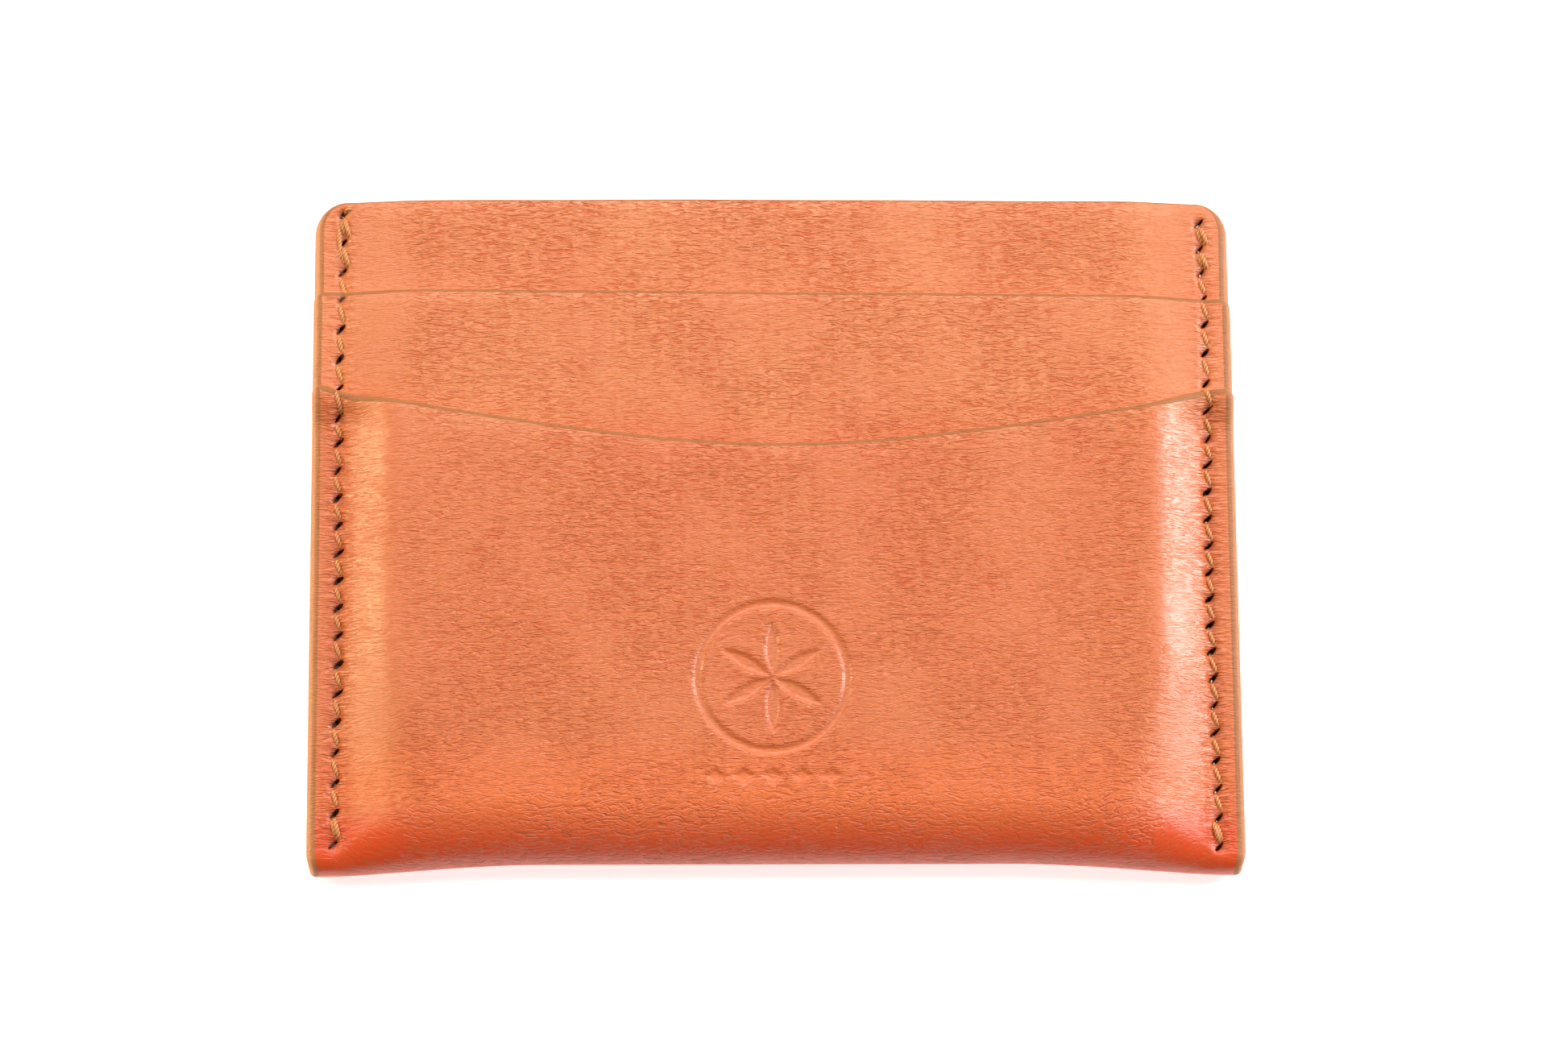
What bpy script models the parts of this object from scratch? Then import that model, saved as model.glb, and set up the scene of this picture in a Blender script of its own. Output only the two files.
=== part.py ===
"""Slim leather card holder: three leather panels, held by two saddle-stitched side seams
and one hidden row of stitches.

It lies on its back. X runs across it, +Y points to the pocket mouths, +Z is its front, and
the origin is the middle of the footprint on the surface that it lies on. Lengths are in
metres, and heights "up" the holder are measured from its lowest edge.
"""

import math

import bmesh
import bpy
from mathutils import Matrix, Vector

MM = 0.001

# The outline.
WIDTH = 100.0 * MM
HEIGHT = 75.0 * MM
CORNER_RADIUS = 3.5 * MM
LEATHER = 1.1 * MM
GLUE_LINE = 0.25 * MM

# The room that each pocket leaves between its leathers, away from the seams.
CENTRE_POCKET_GAP = 1.0 * MM
CARD_SLOT_GAP = 0.8 * MM

# The pocket mouths and the T-shaped pocket, as heights up the holder.
FRONT_MOUTH_SIDE = 52.2 * MM
FRONT_MOUTH_DIP = 4.2 * MM
FRONT_MOUTH_SPREAD = 21.9 * MM
T_MOUTH = 63.9 * MM
T_ARM_FOOT = 50.4 * MM
T_STEM_FOOT = 15.0 * MM
T_STEM_HALF_WIDTH = 42.0 * MM
CENTRE_FOOT = 1.5 * MM

# The stitches.
SEAM_INSET = 3.0 * MM
HAND_DRIFT = 0.4 * MM
T_ROW_HEIGHT = 17.0 * MM
T_ROW_STITCHES = 20
T_ROW_PITCH = 4.0 * MM
THREAD = 0.45 * MM
STRAND_OFFSET = 0.28 * MM
THREAD_GAP = 0.2 * MM
GROOVE_DEPTH = 0.7 * MM
GROOVE_WIDTH = 1.7 * MM

# How the leather swells from the seams to the middle, as distances from the centre line.
SWELL_START = 46.0 * MM
FRONT_SWELL_END = 40.0 * MM
INNER_SWELL_END = 38.0 * MM

# The fold along the bottom: its reach up the back and the front, at the seams and mid-width.
BOTTOM_BOW = 1.15 * MM
BOW_RUN = 25.0 * MM
MID_FOLD_BACK = 3.0 * MM
MID_FOLD_FRONT = 7.5 * MM
MID_FOLD_CREST = 2.6 * MM

# Heights of the grain faces above the back of the holder, at the seams and mid-width.
PLY = LEATHER + GLUE_LINE
CENTRE_SEAM_TOP = LEATHER + PLY
T_SEAM_TOP = CENTRE_SEAM_TOP + PLY
FRONT_SEAM_TOP_LOW = CENTRE_SEAM_TOP + PLY
FRONT_SEAM_TOP_HIGH = T_SEAM_TOP + PLY
CENTRE_MID_TOP = 2 * LEATHER + CENTRE_POCKET_GAP
T_MID_TOP = CENTRE_MID_TOP + CARD_SLOT_GAP + LEATHER
T_FOOT_MID_TOP = CENTRE_MID_TOP + PLY
FRONT_MID_TOP = T_MID_TOP + CARD_SLOT_GAP + LEATHER
FLANGE_FOLD = FRONT_SEAM_TOP_LOW / 2

# Heights up the holder between which the front pocket climbs onto the arms of the T pocket,
# and between which the stem of the T pocket lifts off the centre panel.
CLIMB_START = T_ARM_FOOT - 2.8 * MM
CLIMB_END = T_ARM_FOOT - 0.3 * MM
STEM_LIFT_START = T_ROW_HEIGHT + 1.5 * MM
STEM_LIFT_END = T_ROW_HEIGHT + 7.0 * MM

HALF_WIDTH = WIDTH / 2
SEAM_X = HALF_WIDTH - SEAM_INSET

# Each side seam: which side it is on, its number of stitches, and its end holes' heights.
SEAMS = {
    "left": (-1, 22, 3.3 * MM, 73.0 * MM),
    "right": (1, 23, 2.6 * MM, 72.6 * MM),
}
HALF_COLUMNS_MM = (12, 24, 34, 38, 39.5, 41, 42, 43, 44.5, 46, 48.2, 49.2, 49.8, 50)

LEATHER_ORANGE = (0.80, 0.24, 0.10, 1.0)
THREAD_TAN = (0.80, 0.42, 0.18, 1.0)


def clear_scene():
    for thing in list(bpy.data.objects):
        bpy.data.objects.remove(thing)


def new_collection(name, hidden=False):
    collection = bpy.data.collections.new(name)
    collection.hide_render = hidden
    bpy.context.scene.collection.children.link(collection)
    return collection


def new_material(name, colour, roughness):
    material = bpy.data.materials.new(name)
    material.use_nodes = True
    shader = material.node_tree.nodes["Principled BSDF"]
    shader.inputs["Base Color"].default_value = colour
    shader.inputs["Roughness"].default_value = roughness
    shader.inputs["Metallic"].default_value = 0.0
    return material


def mix(a, b, share):
    return a + (b - a) * share


def smooth_share(value, start, end):
    """0 at start, 1 at end, with a soft beginning and end."""
    share = min(1.0, max(0.0, (value - start) / (end - start)))
    return share * share * (3 - 2 * share)


def up(height):
    """The Y of a height up the holder."""
    return height - HEIGHT / 2


def front_swell(x):
    return smooth_share(abs(x), SWELL_START, FRONT_SWELL_END)


def inner_swell(x):
    return smooth_share(abs(x), SWELL_START, INNER_SWELL_END)


def bottom_bow(x):
    """How far the folded bottom edge is drawn up, since the swollen middle takes up leather."""
    return BOTTOM_BOW * smooth_share(HALF_WIDTH - abs(x), 0.0, BOW_RUN)


def top_edge(x):
    """The height of the top edge, with its rounded corners."""
    past = abs(x) - (HALF_WIDTH - CORNER_RADIUS)
    if past <= 0:
        return HEIGHT
    inside = max(0.0, CORNER_RADIUS**2 - past**2)
    return HEIGHT - CORNER_RADIUS + math.sqrt(inside)


def front_mouth(x):
    """The front pocket's scooped mouth: level at the seams, lowest at the centre line."""
    curve = math.hypot(1.0, min(abs(x), SEAM_X) / FRONT_MOUTH_SPREAD)
    at_seam = math.hypot(1.0, SEAM_X / FRONT_MOUTH_SPREAD)
    return FRONT_MOUTH_SIDE - FRONT_MOUTH_DIP * (at_seam - curve)


def centre_panel_top(x, height):
    return mix(CENTRE_SEAM_TOP, CENTRE_MID_TOP, inner_swell(x))


def t_pocket_top(x, height):
    lift = smooth_share(height, STEM_LIFT_START, STEM_LIFT_END)
    middle = mix(T_FOOT_MID_TOP, T_MID_TOP, lift)
    return mix(T_SEAM_TOP, middle, inner_swell(x))


def front_seam_top(height):
    climb = smooth_share(height, CLIMB_START, CLIMB_END)
    return mix(FRONT_SEAM_TOP_LOW, FRONT_SEAM_TOP_HIGH, climb)


def front_top(x, height):
    return mix(front_seam_top(height), FRONT_MID_TOP, front_swell(x))


def place_on_wrap(x, station):
    """A point of the wrap's grain face. The station runs 0 to 1 down the back, 1 to 2 round
    the fold, and 2 to 3 up the front."""
    swell = front_swell(x)
    low = bottom_bow(x)
    crest = mix(FLANGE_FOLD, MID_FOLD_CREST, swell)
    back_reach = mix(FLANGE_FOLD, MID_FOLD_BACK, swell)
    front_reach = mix(FLANGE_FOLD, MID_FOLD_FRONT, swell)
    if station <= 1:
        return Vector((x, up(mix(top_edge(x), low + back_reach, station)), 0.0))
    if station < 2:
        turn = math.pi * (station - 1)
        reach = back_reach if turn < math.pi / 2 else front_reach
        height = low + reach * (1 - math.sin(turn))
        if turn < math.pi / 2:
            z = crest * (1 - math.cos(turn))
        else:
            fold_top = front_top(x, low + front_reach)
            z = crest - (fold_top - crest) * math.cos(turn)
        return Vector((x, up(height), z))
    height = mix(low + front_reach, front_mouth(x), station - 2)
    return Vector((x, up(height), front_top(x, height)))


def place_on_centre(x, share):
    height = mix(CENTRE_FOOT + bottom_bow(x), top_edge(x), share)
    return Vector((x, up(height), centre_panel_top(x, height)))


def place_on_t(x, height):
    return Vector((x, up(height), t_pocket_top(x, height)))


def leather_sheet(name, collection, stations, place, keep=None):
    """A sheet of leather: a grid laid on its grain face by place(x, station), with the
    leather's thickness behind it. keep(x, station) says which faces of the grid stay."""
    half = [value * MM for value in HALF_COLUMNS_MM]
    columns = [-x for x in reversed(half)] + [0.0] + half
    mesh = bpy.data.meshes.new(name)
    body = bmesh.new()
    bmesh.ops.create_grid(
        body, x_segments=len(columns) - 1, y_segments=len(stations) - 1, size=1.0
    )
    spots = {}
    for vertex in body.verts:
        column = columns[round((vertex.co.x + 1) / 2 * (len(columns) - 1))]
        station = stations[round((vertex.co.y + 1) / 2 * (len(stations) - 1))]
        spots[vertex] = (column, station)
        vertex.co = place(column, station)
    if keep:
        unwanted = []
        for face in body.faces:
            middle_x = sum(spots[v][0] for v in face.verts) / len(face.verts)
            middle_station = sum(spots[v][1] for v in face.verts) / len(face.verts)
            if not keep(middle_x, middle_station):
                unwanted.append(face)
        bmesh.ops.delete(body, geom=unwanted, context="FACES")
    body.to_mesh(mesh)
    body.free()
    mesh.shade_smooth()
    mesh.set_sharp_from_angle(angle=math.radians(35))
    sheet = bpy.data.objects.new(name, mesh)
    collection.objects.link(sheet)
    thickness = sheet.modifiers.new("leather_thickness", "SOLIDIFY")
    thickness.thickness = LEATHER
    thickness.offset = -1.0
    thickness.use_even_offset = True
    thickness.use_quality_normals = True
    return sheet


def seam_hole_heights(seam):
    """The heights of a seam's holes: evenly spaced, apart from the drift of the hand."""
    side, stitches, first, last = SEAMS[seam]
    heights = []
    for k in range(stitches + 1):
        share = k / stitches
        drift = math.sin(math.tau * (1.25 * share + 0.05 * side))
        heights.append(mix(first, last, share) + HAND_DRIFT * drift)
    return heights


def t_row_hole_places():
    return [(k - T_ROW_STITCHES / 2) * T_ROW_PITCH for k in range(T_ROW_STITCHES + 1)]


def punched_slits(name, collection, spots):
    """One cutter that holds a slanting awl slit, right through, for each (x, height)."""
    length = 2 * (STRAND_OFFSET * math.sqrt(2) + THREAD / 2 + THREAD_GAP)
    breadth = THREAD + 2 * THREAD_GAP
    reach = 4 * FRONT_MID_TOP
    body = bmesh.new()
    for x, height in spots:
        bmesh.ops.create_cube(
            body,
            size=1.0,
            matrix=Matrix.Translation((x, up(height), FRONT_MID_TOP / 2))
            @ Matrix.Rotation(math.radians(45), 4, "Z")
            @ Matrix.Diagonal((length, breadth, reach, 1.0)),
        )
    return cutter_from(name, collection, body)


def thread_grooves(name, collection):
    """The grooves down the back that take the back stitches of the side seams."""
    body = bmesh.new()
    for seam in SEAMS:
        side = SEAMS[seam][0]
        heights = seam_hole_heights(seam)
        low = heights[0] - GROOVE_WIDTH / 2
        high = heights[-1] + GROOVE_WIDTH / 2
        bmesh.ops.create_cube(
            body,
            size=1.0,
            matrix=Matrix.Translation((side * SEAM_X, up((low + high) / 2), 0.0))
            @ Matrix.Diagonal((GROOVE_WIDTH, high - low, 2 * GROOVE_DEPTH, 1.0)),
        )
    return cutter_from(name, collection, body)


def cutter_from(name, collection, body):
    mesh = bpy.data.meshes.new(name)
    body.to_mesh(mesh)
    body.free()
    cutter = bpy.data.objects.new(name, mesh)
    collection.objects.link(cutter)
    cutter.hide_render = True
    cutter.display_type = "WIRE"
    return cutter


def cut(target, cutter):
    modifier = target.modifiers.new("cut_" + cutter.name, "BOOLEAN")
    modifier.operation = "DIFFERENCE"
    modifier.solver = "EXACT"
    modifier.object = cutter


def thread_tube(name, collection, points):
    """A thread as a tube through these points."""
    curve = bpy.data.curves.new(name, "CURVE")
    curve.dimensions = "3D"
    curve.bevel_depth = THREAD / 2
    curve.bevel_resolution = 1
    curve.use_fill_caps = True
    spline = curve.splines.new("POLY")
    spline.points.add(len(points) - 1)
    for spot, point in zip(spline.points, points):
        spot.co = (*point, 1.0)
    thread = bpy.data.objects.new(name, curve)
    collection.objects.link(thread)
    return thread


def seam_surface(height):
    """The highest leather under a side seam's thread at this height, just around it."""
    reach = THREAD + THREAD_GAP
    highest = CENTRE_SEAM_TOP
    if height - reach < T_MOUTH:
        highest = T_SEAM_TOP
    if height - reach < FRONT_MOUTH_SIDE:
        highest = front_seam_top(height + reach)
    return highest


def strand_spot(x, height, end, z):
    """Where a strand is in the slit at this height: end is 1 for the slit's upper right end
    and -1 for its lower left end."""
    return Vector((x + end * STRAND_OFFSET, up(height) + end * STRAND_OFFSET, z))


def front_stitch(x, low, high):
    """Points of a stitch on the front, over the steps between the leathers."""
    spots = []
    start, finish = low + STRAND_OFFSET, high - STRAND_OFFSET
    for share in (0.0, 0.33, 0.67, 1.0):
        height = mix(start, finish, share)
        z = seam_surface(height) + THREAD_GAP + THREAD / 2
        spots.append(Vector((x + mix(1, -1, share) * STRAND_OFFSET, up(height), z)))
    return spots


def saddle_strand(x, heights, starts_in_front):
    """One of the seam's two strands, which swaps faces at every hole."""
    back_z = GROOVE_DEPTH - THREAD_GAP - THREAD / 2
    points = []
    in_front = starts_in_front
    for low, high in zip(heights, heights[1:]):
        if in_front:
            points += front_stitch(x, low, high)
        else:
            points.append(strand_spot(x, low, -1, back_z))
            points.append(strand_spot(x, high, 1, back_z))
        in_front = not in_front
    return points


def seam_thread(seam, collection):
    """The saddle stitch of one side seam: one thread, sewn from the bottom hole with both of
    its ends, so that it is two strands that meet there."""
    x = SEAMS[seam][0] * SEAM_X
    heights = seam_hole_heights(seam)
    leading = saddle_strand(x, heights, True)
    trailing = saddle_strand(x, heights, False)
    back_z = GROOVE_DEPTH - THREAD_GAP - THREAD / 2
    turn = [strand_spot(x, heights[0], 1, back_z)]
    points = trailing[::-1] + turn + leading
    return thread_tube("seam_thread_" + seam, collection, points)


def t_row_thread(name, collection):
    """The running stitch that closes the foot of the T pocket, through two leathers."""
    above = T_FOOT_MID_TOP + THREAD_GAP + THREAD / 2
    below = CENTRE_MID_TOP - LEATHER - THREAD_GAP - THREAD / 2
    points = []
    places = t_row_hole_places()
    for k, x in enumerate(places):
        z_in, z_out = (below, above) if k % 2 == 0 else (above, below)
        points.append(Vector((x, up(T_ROW_HEIGHT), z_in)))
        points.append(Vector((x, up(T_ROW_HEIGHT), z_out)))
    return thread_tube(name, collection, points[1:-1])


def stations_of(*stretches):
    """Stations along a sheet: each stretch is (start, end, number of equal steps)."""
    found = [stretches[0][0]]
    for start, end, steps in stretches:
        found += [mix(start, end, (k + 1) / steps) for k in range(steps)]
    return found


def build():
    clear_scene()
    holder = new_collection("card_holder")
    cutters = new_collection("cutters", hidden=True)
    leather = new_material("leather", LEATHER_ORANGE, 0.45)
    thread = new_material("thread", THREAD_TAN, 0.6)

    wrap = leather_sheet(
        "outer_wrap",
        holder,
        stations_of((0, 1, 3), (1, 1.5, 4), (1.5, 2, 6), (2, 2.84, 3), (2.84, 3, 6)),
        place_on_wrap,
    )
    centre = leather_sheet(
        "centre_panel", holder, stations_of((0, 1, 4)), place_on_centre
    )
    t_pocket = leather_sheet(
        "t_pocket",
        holder,
        stations_of(
            (T_STEM_FOOT, STEM_LIFT_START, 1),
            (STEM_LIFT_START, STEM_LIFT_END, 4),
            (STEM_LIFT_END, T_ARM_FOOT, 1),
            (T_ARM_FOOT, T_MOUTH, 2),
        ),
        place_on_t,
        keep=lambda x, height: height > T_ARM_FOOT or abs(x) < T_STEM_HALF_WIDTH,
    )

    seam_spots = []
    for seam in SEAMS:
        x = SEAMS[seam][0] * SEAM_X
        seam_spots += [(x, height) for height in seam_hole_heights(seam)]
    seam_slits = punched_slits("seam_slits", cutters, seam_spots)
    t_row_spots = [(x, T_ROW_HEIGHT) for x in t_row_hole_places()]
    t_row_slits = punched_slits("t_row_slits", cutters, t_row_spots)
    cut(wrap, thread_grooves("thread_grooves", cutters))
    for sheet in (wrap, centre, t_pocket):
        cut(sheet, seam_slits)
    for sheet in (centre, t_pocket):
        cut(sheet, t_row_slits)

    threads = [seam_thread(seam, holder) for seam in SEAMS]
    threads.append(t_row_thread("t_pocket_thread", holder))
    for sheet in (wrap, centre, t_pocket):
        sheet.data.materials.append(leather)
    for strand in threads:
        strand.data.materials.append(thread)


build()
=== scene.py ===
"""A hand-sewn leather card holder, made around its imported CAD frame.

Each leather is one closed sheet: a grain face, a flesh face, a rim that is burnished round,
and an awl slit for each stitch. A sheet is cut flat, in (x, v). On the centre panel and the
T pocket, v is the height up the holder. The outer wrap runs from the top of the back, where
v is -HEIGHT, round the fold at v = 0, and up to the mouth of the front pocket.

Lengths are in millimetres until a mesh is made. Heights are measured up the holder.
"""

import math

import bpy
import numpy as np
from mathutils import Matrix, Vector
from mathutils.geometry import delaunay_2d_cdt
from mathutils.kdtree import KDTree


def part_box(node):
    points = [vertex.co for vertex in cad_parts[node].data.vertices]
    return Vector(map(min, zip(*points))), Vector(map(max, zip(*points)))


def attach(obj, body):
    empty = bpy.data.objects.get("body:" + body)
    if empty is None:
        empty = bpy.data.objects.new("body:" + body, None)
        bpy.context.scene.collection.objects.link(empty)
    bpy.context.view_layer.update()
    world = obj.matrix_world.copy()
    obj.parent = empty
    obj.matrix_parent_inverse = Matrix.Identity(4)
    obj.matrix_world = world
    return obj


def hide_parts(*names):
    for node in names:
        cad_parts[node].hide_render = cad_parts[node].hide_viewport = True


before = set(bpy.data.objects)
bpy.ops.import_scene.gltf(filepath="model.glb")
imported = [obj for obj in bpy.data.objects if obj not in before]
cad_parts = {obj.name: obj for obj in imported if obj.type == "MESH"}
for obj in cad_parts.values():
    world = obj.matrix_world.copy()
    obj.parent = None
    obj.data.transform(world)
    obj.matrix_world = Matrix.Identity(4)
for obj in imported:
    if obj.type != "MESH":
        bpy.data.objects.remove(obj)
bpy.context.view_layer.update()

MM = 0.001


def box_mm(node):
    low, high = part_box(node)
    return np.array(low) / MM, np.array(high) / MM


WRAP_LOW, WRAP_HIGH = box_mm("outer_wrap")
CENTRE_LOW, CENTRE_HIGH = box_mm("centre_panel")
T_LOW, T_HIGH = box_mm("t_pocket")
THREAD_LOW, THREAD_HIGH = box_mm("seam_thread_right")
T_ROW_LOW, T_ROW_HIGH = box_mm("t_pocket_thread")

# The outline, from the frame.
HALF_WIDTH = (WRAP_HIGH[0] - WRAP_LOW[0]) / 2
HEIGHT = WRAP_HIGH[1] - WRAP_LOW[1]
T_MOUTH = T_HIGH[1] + HEIGHT / 2
SEAM_X = (THREAD_LOW[0] + THREAD_HIGH[0]) / 2

# Heights of the grain faces above the back, at the seams and mid-width.
LEATHER = 1.1
PLY = CENTRE_LOW[2]
CENTRE_SEAM_TOP = PLY + LEATHER
T_SEAM_TOP = CENTRE_SEAM_TOP + PLY
FRONT_SEAM_TOP_LOW = CENTRE_SEAM_TOP + PLY
FRONT_SEAM_TOP_HIGH = T_SEAM_TOP + PLY
CENTRE_MID_TOP = CENTRE_HIGH[2]
T_MID_TOP = T_HIGH[2]
FRONT_MID_TOP = WRAP_HIGH[2]
SEAM_LEATHER = 1.28

# The pockets, as in the frame.
CORNER_RADIUS = 3.5
FRONT_MOUTH_SIDE = 52.2
FRONT_MOUTH_DIP = 4.2
FRONT_MOUTH_SPREAD = 21.9
MOUTH_END_RISE = 1.15
MOUTH_END_START_LEFT = 45.0
MOUTH_END_START_RIGHT = 39.0
MOUTH_END_SLOPE = 0.25
T_ARM_FOOT = 50.4
T_STEM_FOOT = 15.0
T_STEM_HALF_WIDTH = 42.0
T_ROW_HEIGHT = 17.0
CENTRE_FOOT = 1.5

# Small slips of the hand: the T pocket's mouth slopes, and the top edge is a little crowned.
T_MOUTH_SLOPE = 0.35
TOP_CROWN = 0.25

# The swell of each leather from the seams inwards, and the fold.
SWELL_START = 46.8
FRONT_SWELL_END = 40.0
INNER_SWELL_END = 37.5
CORNER_SWELL_REACH = 6.0
CORNER_SWELL_FOOT = 4.0
CORNER_SWELL_TOP = 24.0
CLIMB_START = 48.4
CLIMB_END = 52.6
BOTTOM_BOW = 1.15
BOW_RUN = 25.0
MID_FOLD_BACK = 3.0
MID_FOLD_FRONT = 7.0
MID_FOLD_CREST = 2.6
FLANGE_FOLD = FRONT_SEAM_TOP_LOW / 2
FOLD_CORNER_REACH = 2.6
FOLD_CORNER_INSET = 0.35

# The burnished rims. At the side seams the whole stack is sanded round as one.
SIDE_ROUND = 1.05
BACK_ROUND = 0.75
RIM_TURNS = (0, 18, 38, 60, 84, 108, 134, 158, 180)
SHARP_CORNER = 1.15

# The stitches.
SEAMS = {
    "left": (-1, 22, 3.3, 73.0),
    "right": (1, 23, 2.6, 72.6),
}
HAND_DRIFT = 0.4
# Where the awl slipped, as (how far down, at which height, over how much of the seam).
AWL_SLIPS = {
    "left": ((0.40, 57.0, 7.0), (0.60, 51.0, 1.8)),
    "right": ((0.55, 72.0, 3.5), (0.55, 51.5, 4.0)),
}
T_ROW_STITCHES = 20
T_ROW_PITCH = 4.0
THREAD_RADIUS = 0.25
STRAND_OFFSET = 0.36
SLIT_LENGTH = 1.25
SLIT_WIDTH = 0.32
SLIT_LIP = 0.1
SLIT_POINTS = 16
SLIT_SLANT = math.radians(50)
CLEAR_OF_MOUTH = 1.35

# The debossed ornament on the front pocket: a plain rosette in a ring, over five lozenges.
ROSETTE = (-0.5, 20.6)
PETAL_RADIUS = 6.3
RING_RADIUS = 8.0
RING_WIDTH = 0.9
LOZENGE_HEIGHT = 9.9
LOZENGE_PITCH = 3.1
LOZENGE_HALF = (1.2, 0.85)
DEBOSS_DEPTH = 0.24
DEBOSS_SHOULDER = 0.22


def mix(a, b, share):
    return a + (b - a) * share


def smooth(value, start, end):
    """0 at start, 1 at end, with a soft beginning and end."""
    share = np.clip((np.asarray(value, float) - start) / (end - start), 0, 1)
    return share * share * (3 - 2 * share)


def bell(distance, width):
    return np.exp(-((distance / width) ** 2))


# ---------------------------------------------------------------- the shapes of the leathers


def puffed(x, end):
    """0 at the seams and 1 from end inwards, steepest near the seams."""
    share = np.clip((SWELL_START - np.abs(x)) / (SWELL_START - end), 0, 1)
    return np.sin(share * np.pi / 2) ** 1.35


def front_swell(x, height=0.0):
    """The front's swell, which is softer towards the fold's corners."""
    corner = 1 - smooth(height, CORNER_SWELL_FOOT, CORNER_SWELL_TOP)
    return puffed(x, FRONT_SWELL_END - CORNER_SWELL_REACH * corner)


def inner_swell(x):
    return puffed(x, INNER_SWELL_END)


def bottom_bow(x):
    return BOTTOM_BOW * smooth(HALF_WIDTH - np.abs(x), 0.0, BOW_RUN)


def front_mouth_dip(x):
    """How far below its ends the front pocket's mouth is."""
    curve = np.hypot(1.0, np.minimum(np.abs(x), SEAM_X) / FRONT_MOUTH_SPREAD)
    at_seam = math.hypot(1.0, SEAM_X / FRONT_MOUTH_SPREAD)
    start = np.where(x < 0, MOUTH_END_START_LEFT, MOUTH_END_START_RIGHT)
    share = np.clip((np.abs(x) - start) / (HALF_WIDTH - start), 0, 1)
    turned_up = MOUTH_END_RISE * share * share * (3 - 2 * share)
    slope = MOUTH_END_SLOPE * x / HALF_WIDTH
    return FRONT_MOUTH_DIP * (at_seam - curve) - turned_up + slope


def front_mouth(x):
    return FRONT_MOUTH_SIDE - front_mouth_dip(x)


def t_mouth(x):
    return T_MOUTH - T_MOUTH_SLOPE * x / HALF_WIDTH


def undulation(x, height):
    """The slight unevenness of leather that has been handled, about -1 to 1."""
    long_waves = np.sin(x / 9.5 + 0.6) * np.sin(height / 17.0 + 1.1)
    cross_waves = np.sin(x / 5.7 - height / 12.0 + 2.0)
    slow_waves = np.sin(x / 14.0 + height / 8.5)
    return 0.5 * long_waves + 0.25 * cross_waves + 0.25 * slow_waves


def waves(x, height):
    """The shallow upright waves of the leathers behind, -1 to 1."""
    return np.cos((x + 11.5) / 3.9 + 0.5 * np.sin(height / 13.0))


def centre_top(x, height):
    swell = inner_swell(x)
    flat = mix(CENTRE_SEAM_TOP, CENTRE_MID_TOP, swell)
    return flat + swell * (0.10 * undulation(x, height) + 0.07 * waves(x, height))


def t_top(x, height):
    swell = inner_swell(x)
    lift = smooth(height, T_ROW_HEIGHT + 1.5, T_ROW_HEIGHT + 7.0)
    middle = mix(CENTRE_MID_TOP + PLY, T_MID_TOP, lift)
    flat = mix(T_SEAM_TOP, middle, swell)
    tapered_foot = (1 - swell) * (FRONT_SEAM_TOP_HIGH - front_seam_top(height))
    uneven = 0.12 * undulation(x + 7, height) + 0.07 * waves(x, height)
    return flat + swell * uneven - tapered_foot


def front_seam_top(height):
    climb = smooth(height, CLIMB_START, CLIMB_END)
    return mix(FRONT_SEAM_TOP_LOW, FRONT_SEAM_TOP_HIGH, climb)


def front_top(x, height):
    swell = front_swell(x, height)
    flat = mix(front_seam_top(height), FRONT_MID_TOP, swell)
    return flat + 0.055 * swell * (undulation(x - 4, height) - 1)


def lift_to_space(x, height, z):
    return np.stack([x, height - HEIGHT / 2, z], axis=-1)


def centre_surface(x, v):
    return lift_to_space(x, v, centre_top(x, v))


def t_surface(x, v):
    return lift_to_space(x, v, t_top(x, v))


def fold_limits(x):
    """(where the back ends, where the front starts, the crest's height) round the fold."""
    swell = front_swell(x)
    low = bottom_bow(x)
    back = low + mix(FLANGE_FOLD, MID_FOLD_BACK, swell)
    front = low + mix(FLANGE_FOLD, MID_FOLD_FRONT, swell**0.6)
    return back, front, mix(FLANGE_FOLD, MID_FOLD_CREST, swell)


def wrap_surface(x, v):
    back, front, crest = fold_limits(x)
    low = bottom_bow(x)
    turn = np.pi * np.clip((v + back) / (front + back), 0, 1)
    early = turn < np.pi / 2
    reach = np.where(early, back, front) - low
    height = low + reach * (1 - np.sin(turn))
    rise = np.where(early, crest, front_top(x, front) - crest)
    z = crest - rise * np.cos(turn)
    height = np.where(v < -back, -v, np.where(v > front, v, height))
    z = np.where(v < -back, 0.0, np.where(v > front, front_top(x, v), z))
    return lift_to_space(x, height, z)


def normals_of(surface, x, v):
    """The unit normals of the grain face, pointing out."""
    step = 0.02
    across = surface(x + step, v) - surface(x - step, v)
    along = surface(x, v + step) - surface(x, v - step)
    normal = np.cross(across, along)
    return normal / np.linalg.norm(normal, axis=-1, keepdims=True)


# ---------------------------------------------------------------- what the stitches do


def seam_holes(seam):
    """(x, height) of each of a seam's holes: even, apart from the drift of the hand."""
    side, stitches, first, last = SEAMS[seam]
    share = np.arange(stitches + 1) / stitches
    drift = HAND_DRIFT * np.sin(math.tau * (1.25 * share + 0.05 * side))
    heights = mix(first, last, share) + drift
    for down, place, run in AWL_SLIPS[seam]:
        heights = heights - down * bell(heights - place, run)
    waver = 0.12 * np.sin(share * 9.0 + side) + 0.05 * np.sin(share * 31.0)
    return np.stack([side * SEAM_X + waver, heights], axis=1)


SEAM_HOLES = {seam: seam_holes(seam) for seam in SEAMS}


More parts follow.
